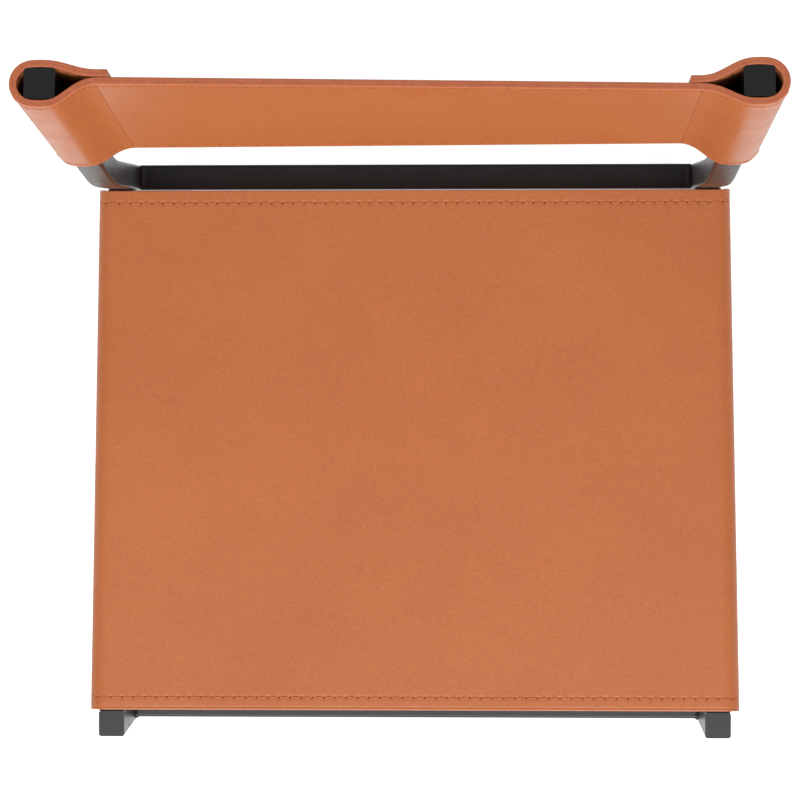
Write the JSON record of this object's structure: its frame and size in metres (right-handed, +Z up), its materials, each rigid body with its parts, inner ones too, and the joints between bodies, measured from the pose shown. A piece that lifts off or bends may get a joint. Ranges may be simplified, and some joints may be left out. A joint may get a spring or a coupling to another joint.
{
  "type": "sling chair",
  "caption": "Armless chair with a stretched leather sling seat and a leather strap back looped round the posts of a square steel tube frame.",
  "frame": {"origin": "on the floor, under the middle of the chair's bounding box", "axes": "+Z up, +Y to the back of the chair, +X to the sitter's left, which is the right-hand side seen from the front"},
  "size_m": [0.5098, 0.5044, 0.8126],
  "materials": {
    "frame_paint": "satin black powder coat",
    "nylon": "moulded matt black",
    "zinc": "bright zinc plate",
    "saddle_leather": "smooth waxed tan",
    "lining_leather": "matt flesh side, tan",
    "thread": "waxed tan thread"
  },
  "bodies": {
    "root": {"front_leg_left": "frame_paint", "front_leg_right": "frame_paint", "rear_post_left": "frame_paint", "rear_post_right": "frame_paint", "side_rail_left": "frame_paint", "side_rail_right": "frame_paint", "front_cross_rail": "frame_paint", "rear_cross_rail": "frame_paint", "leg_cap_left": "frame_paint", "leg_cap_right": "frame_paint", "post_cap_left": "frame_paint", "post_cap_right": "frame_paint", "front_rail_welds": "frame_paint", "rear_rail_welds": "frame_paint", "side_rail_welds": "frame_paint", "seat_clamp_left": "frame_paint", "seat_clamp_right": "frame_paint", "glide_front_left": "nylon", "glide_front_right": "nylon", "glide_rear_left": "nylon", "glide_rear_right": "nylon", "seat_top_leather": "saddle_leather", "strap_leather": "saddle_leather", "seat_lining": "lining_leather", "strap_lining": "lining_leather", "seat_front_thread": "thread", "seat_rear_thread": "thread", "strap_top_thread": "thread", "strap_bottom_thread": "thread", "strap_seam_thread_left": "thread", "strap_seam_thread_right": "thread", "clamp_screws_left": "zinc", "clamp_screws_right": "zinc", "clamp_rivet_nuts_left": "zinc", "clamp_rivet_nuts_right": "zinc", "strap_screws_left": "zinc", "strap_screws_right": "zinc", "strap_rivet_nuts_left": "zinc", "strap_rivet_nuts_right": "zinc"}
  },
  "joints": []
}
